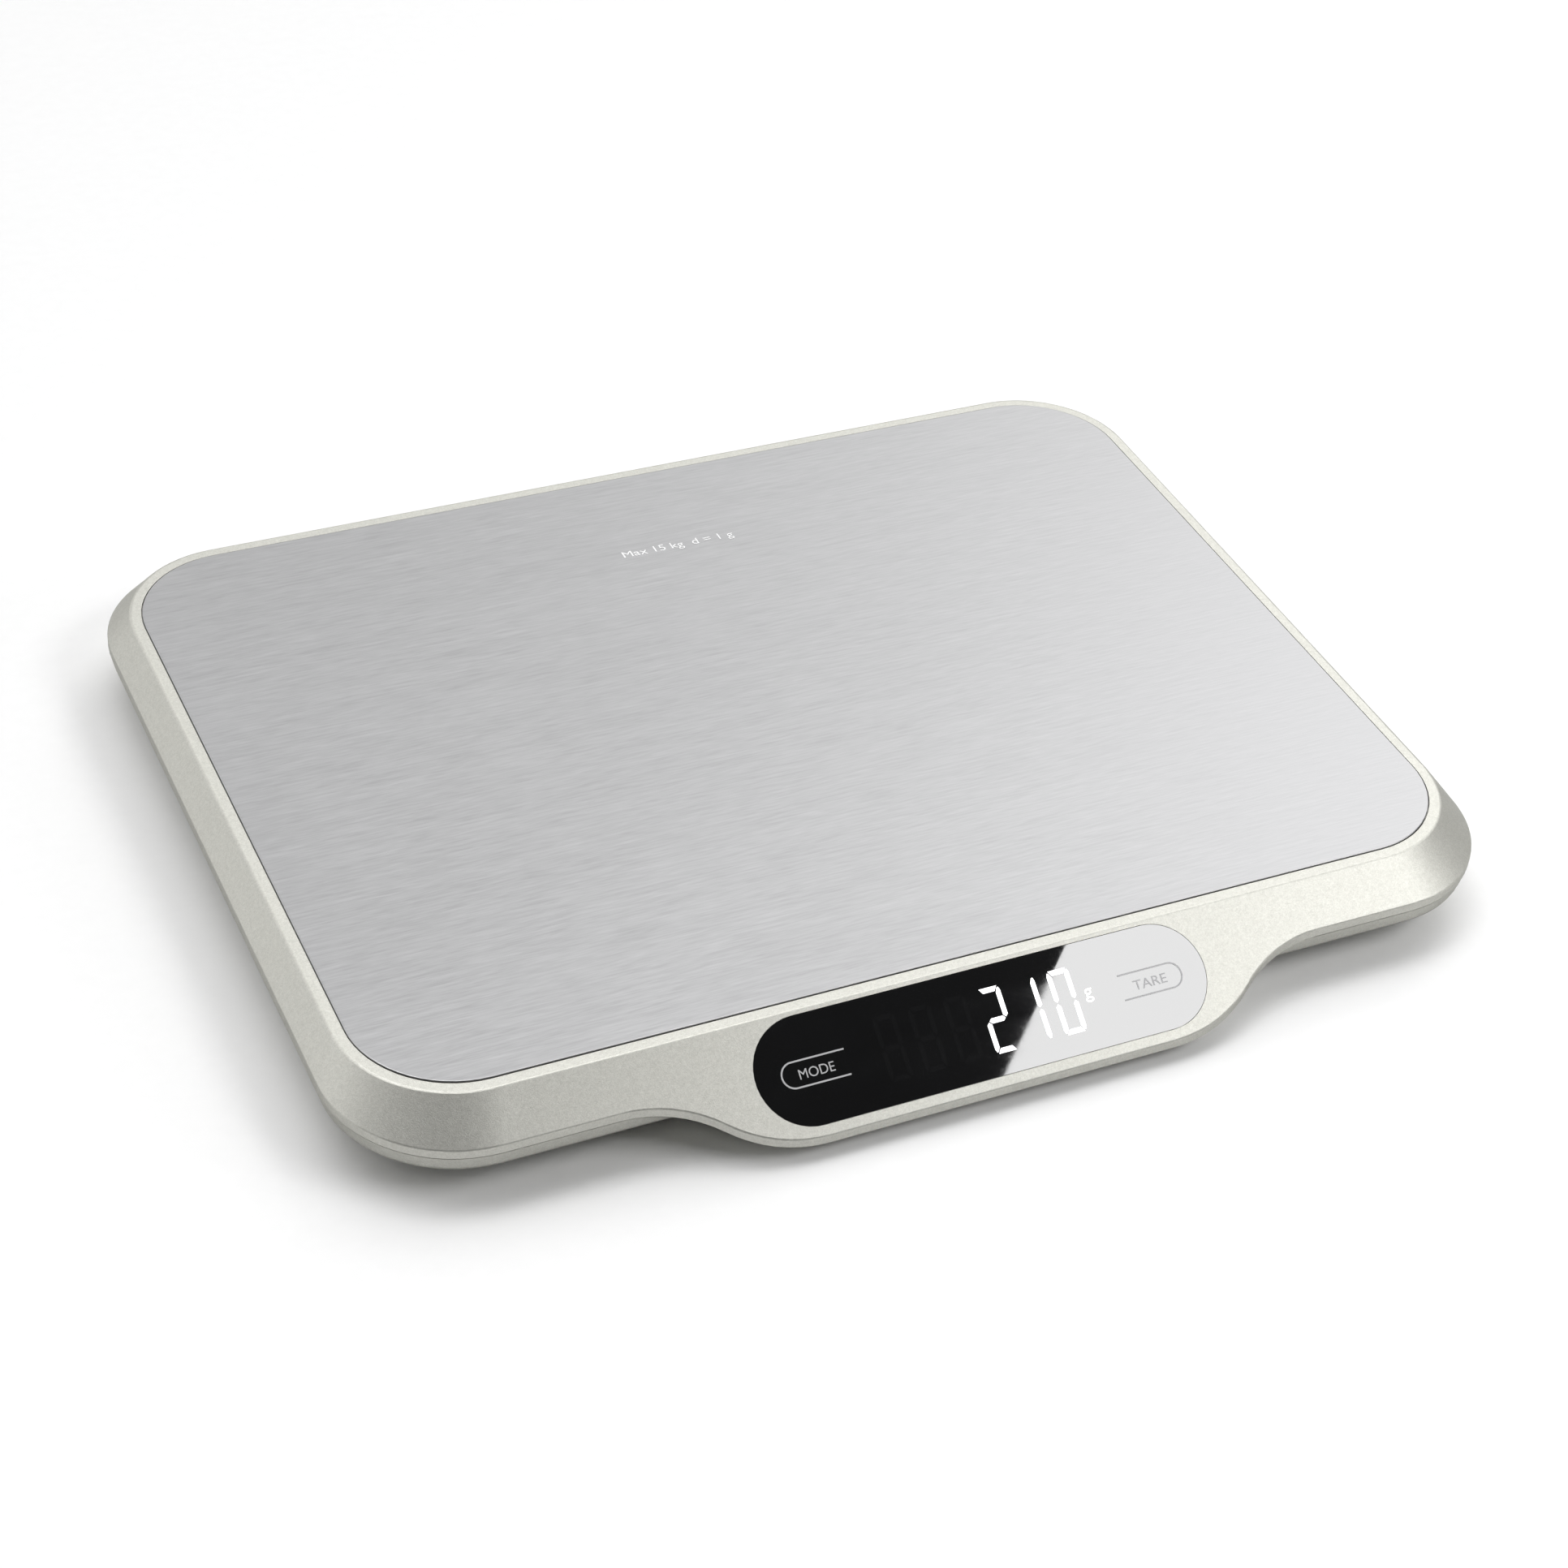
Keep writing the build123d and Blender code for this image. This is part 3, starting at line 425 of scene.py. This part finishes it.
stroke_meshes = {}
for letter in "abcdefg":
    stroke = stroke_piece(letter)
    stroke_meshes[letter] = stroke.data
    bpy.data.objects.remove(stroke)


def figure(letters, place):
    """The chosen strokes of one figure, joined, at its place counted from the right."""
    pieces = []
    for letter in letters:
        piece = bpy.data.objects.new("stroke", stroke_meshes[letter].copy())
        bpy.context.scene.collection.objects.link(piece)
        piece.data.transform(Matrix.Translation((last_digit_x - place * digit_pitch, 0, 0)))
        pieces.append(piece)
    return joined(pieces)


lamp_material = lamp_glow("digit_glow", (1.0, 1.0, 1.0), 1.15, 0.93)
for place, number in enumerate((0, 1, 2)):
    strokes = figure(lit[number], place)
    strokes.matrix_world = lens_matrix(0, 0, print_lift)
    finished(strokes, f"lit_digit_{place + 1}", lamp_material)

dark_stroke = smoked("dark_stroke", (0.0045, 0.0047, 0.0052), (0.006, 0.0062, 0.0068))
for place in range(3, digit_count):
    strokes = figure(lit[8], place)
    strokes.matrix_world = lens_matrix(0, 0, print_lift)
    finished(strokes, f"unlit_digit_{place + 1}", dark_stroke)


def lettering(text, height, width, boldness=0.02):
    """A word as a thin mesh, its middle at the origin, drawn large and then brought to its size."""
    deselect_all()
    bpy.ops.object.text_add(location=(0, 0, 0))
    word = bpy.context.object
    word.data.body = text
    word.data.offset = boldness
    word.data.extrude = 0.5
    word.data.resolution_u = 6
    bpy.ops.object.convert(target="MESH")
    bpy.ops.object.mode_set(mode="EDIT")
    bpy.ops.mesh.select_all(action="SELECT")
    bpy.ops.mesh.remove_doubles(threshold=0.0001)
    bpy.ops.mesh.normals_make_consistent(inside=False)
    bpy.ops.object.mode_set(mode="OBJECT")
    low, high = ([pick(v.co[k] for v in word.data.vertices) for k in range(3)] for pick in (min, max))
    middle = Vector([(a + b) / 2 for a, b in zip(low, high)])
    size = Matrix.Diagonal((width / (high[0] - low[0]), height / (high[1] - low[1]), print_thick, 1))
    word.data.transform(Matrix.Translation((0, 0, print_thick / 2)) @ size @ Matrix.Translation(-middle))
    return word


key_radius = 3.2 * MM
key_stroke = 0.42 * MM
key_line_end = 37.8 * MM
key_arc_x = 55.1 * MM
key_up = -0.4 * MM
key_word_x, key_word_up = 46.0 * MM, -0.6 * MM
key_word_height, key_word_width = 2.45 * MM, 9.4 * MM


def key_outline(side):
    """Half-open rounded frame round a key's legend, open towards the figures."""
    deselect_all()
    bpy.ops.mesh.primitive_circle_add(vertices=96, radius=key_radius + key_stroke / 2, fill_type="NGON")
    ring = bpy.context.object
    bpy.ops.object.mode_set(mode="EDIT")
    bpy.ops.mesh.select_mode(type="FACE")
    bpy.ops.mesh.select_all(action="SELECT")
    bpy.ops.mesh.inset(thickness=key_stroke)
    bpy.ops.mesh.delete(type="FACE")
    bpy.ops.mesh.select_all(action="SELECT")
    bpy.ops.mesh.bisect(plane_co=(0, 0, 0), plane_no=(1, 0, 0), clear_outer=True)
    choose(ring, lambda p: abs(p.x) < 1e-6, "EDGE")
    straight = key_arc_x - key_radius - key_line_end
    bpy.ops.mesh.extrude_edges_move(TRANSFORM_OT_translate={"value": (straight, 0, 0)})
    raised(ring)
    bpy.ops.object.mode_set(mode="EDIT")
    bpy.ops.mesh.select_all(action="SELECT")
    bpy.ops.transform.translate(value=(key_radius - key_arc_x, 0, 0))
    if side > 0:
        bpy.ops.transform.rotate(value=pi, orient_axis="Z", center_override=(0, 0, 0))
    bpy.ops.object.mode_set(mode="OBJECT")
    return ring


legend_print = screen_print("legend_print", (0.56, 0.56, 0.57), (0.46, 0.46, 0.47))
for name, side, text in (("mode", -1, "MODE"), ("tare", 1, "TARE")):
    frame_line = key_outline(side)
    frame_line.matrix_world = lens_matrix(0, key_up, print_lift)
    finished(frame_line, f"key_line_{name}", legend_print)
    word = lettering(text, key_word_height, key_word_width, 0.0)
    word.matrix_world = lens_matrix(side * key_word_x, key_word_up, print_lift)
    finished(word, f"key_word_{name}", legend_print)

unit_height, unit_width, unit_x = 3.5 * MM, 2.2 * MM, 28.8 * MM
unit = lettering("g", unit_height, unit_width, 0.0)
unit.matrix_world = lens_matrix(unit_x, 0, print_lift)
finished(unit, "unit_mark", lamp_material)

capacity_height, capacity_width = 3.7 * MM, 34.0 * MM
capacity_x, capacity_y = 2.7 * MM, 74.0 * MM
etch = screen_print("capacity_print", (0.96, 0.96, 0.96), (0.88, 0.88, 0.88))
capacity = lettering("Max 15 kg  d = 1 g", capacity_height, capacity_width, 0.0)
capacity.matrix_world = Matrix.Translation((capacity_x, plate_middle.y + capacity_y, plate_top + print_lift))
finished(capacity, "capacity_mark", etch)


# ---------------------------------------------------------------- floor, light and camera
def floor_finish():
    t = Tree("studio_floor")
    paper = t.noise(220.0, detail=3.0)
    return t.set(Base_Color=t.mix(t.ramp(paper, 0.0, 1.0, 0.3, 0.7), (0.94, 0.94, 0.94), (0.96, 0.96, 0.96)),
                 Roughness=0.8, Specular_IOR_Level=0.1)


deselect_all()
floor_width = 12
bpy.ops.mesh.primitive_plane_add(size=floor_width, location=(0, 0, 0))
floor = bpy.context.object
floor.name = "studio_floor"
floor.data.materials.append(floor_finish())


def softbox(name, middle, target, width, height, radiance):
    """Rectangular light that faces a point, given by the brightness of its face."""
    light = bpy.data.lights.new(name, "AREA")
    light.shape = "RECTANGLE"
    light.size = width
    light.size_y = height
    light.energy = radiance * width * height * pi
    box = bpy.data.objects.new(name, light)
    bpy.context.scene.collection.objects.link(box)
    box.location = middle
    box.rotation_euler = (Vector(target) - Vector(middle)).to_track_quat("-Z", "Y").to_euler()
    return box


def hung_softbox(name, corner, along, length, width, radiance):
    """Softbox hung level over the table, one long side starting at corner and running along a bearing."""
    forward = Vector((sin(along), cos(along), 0))
    aside = Vector((cos(along), -sin(along), 0))
    middle = Vector(corner) + forward * length / 2 + aside * width / 2
    box = softbox(name, middle, middle - Vector((0, 0, 1)), width, length, radiance)
    box.rotation_euler = (0, 0, -along)
    return box


hung_softbox("right_softbox", (0.541, -1.132, 1.4), radians(31.7), 0.95, 0.7, 6.9)
softbox("low_softbox", (1.1, -0.75, 0.55), (0.12, -0.1, 0.01), 0.5, 0.4, 4.0)

# The room: a pale wall behind, a brighter panel to the right of it, a bright ceiling over the back
# and a dark front.
world = bpy.data.worlds.new("studio")
bpy.context.scene.world = world
world.use_nodes = True
sky = world.node_tree
direction = sky.nodes.new("ShaderNodeTexCoord")
split = sky.nodes.new("ShaderNodeSeparateXYZ")
sky.links.new(direction.outputs["Generated"], split.inputs["Vector"])


def fade(axis, start, end, low, high):
    """Brightness that goes smoothly from low to high as one part of the direction goes from start to end."""
    node = sky.nodes.new("ShaderNodeMapRange")
    node.interpolation_type = "SMOOTHSTEP"
    for name, value in zip(("From Min", "From Max", "To Min", "To Max"), (start, end, low, high)):
        node.inputs[name].default_value = value
    sky.links.new(split.outputs[axis], node.inputs["Value"])
    return node.outputs["Result"]


def blend(operation, first, second):
    node = sky.nodes.new("ShaderNodeMath")
    node.operation = operation
    sky.links.new(first, node.inputs[0])
    sky.links.new(second, node.inputs[1])
    return node.outputs["Value"]


wall = blend("MULTIPLY", fade("Y", -0.2, 0.35, 0.05, 1.04), fade("X", 0.62, 0.9, 1, 0.45))
panel = blend("MULTIPLY", fade("X", 0.36, 0.62, 0, 2.6), fade("X", 0.6, 0.8, 1, 0))
panel = blend("MULTIPLY", blend("MULTIPLY", panel, fade("Z", 0.15, 0.5, 0, 1)), wall)
ceiling = blend("MULTIPLY", fade("Z", 0.80, 0.94, 0, 4.0), fade("Y", 0.0, 0.35, 0, 1))
left = blend("MULTIPLY", fade("X", -0.75, -0.35, 0.3, 0), wall)
room = blend("ADD", blend("ADD", wall, panel), blend("ADD", ceiling, left))
sky.links.new(room, sky.nodes["Background"].inputs["Strength"])
sky.nodes["Background"].inputs["Color"].default_value = (1, 1, 1, 1)

camera_place = Vector((-0.3220, -0.6158, 0.5589))
camera_azimuth = radians(27.58)
camera_down = radians(38.74)
camera_roll = radians(5.11)
camera = bpy.data.objects.new("camera", bpy.data.cameras.new("camera"))
bpy.context.scene.collection.objects.link(camera)
camera.data.sensor_width = 36
camera.data.lens = 75.07
camera.data.clip_start = 0.05
turn = (Matrix.Rotation(-camera_azimuth, 4, "Z") @ Matrix.Rotation(pi / 2 - camera_down, 4, "X")
        @ Matrix.Rotation(camera_roll, 4, "Z"))
camera.matrix_world = Matrix.Translation(camera_place) @ turn
bpy.context.scene.camera = camera
bpy.context.scene.view_settings.view_transform = "Standard"
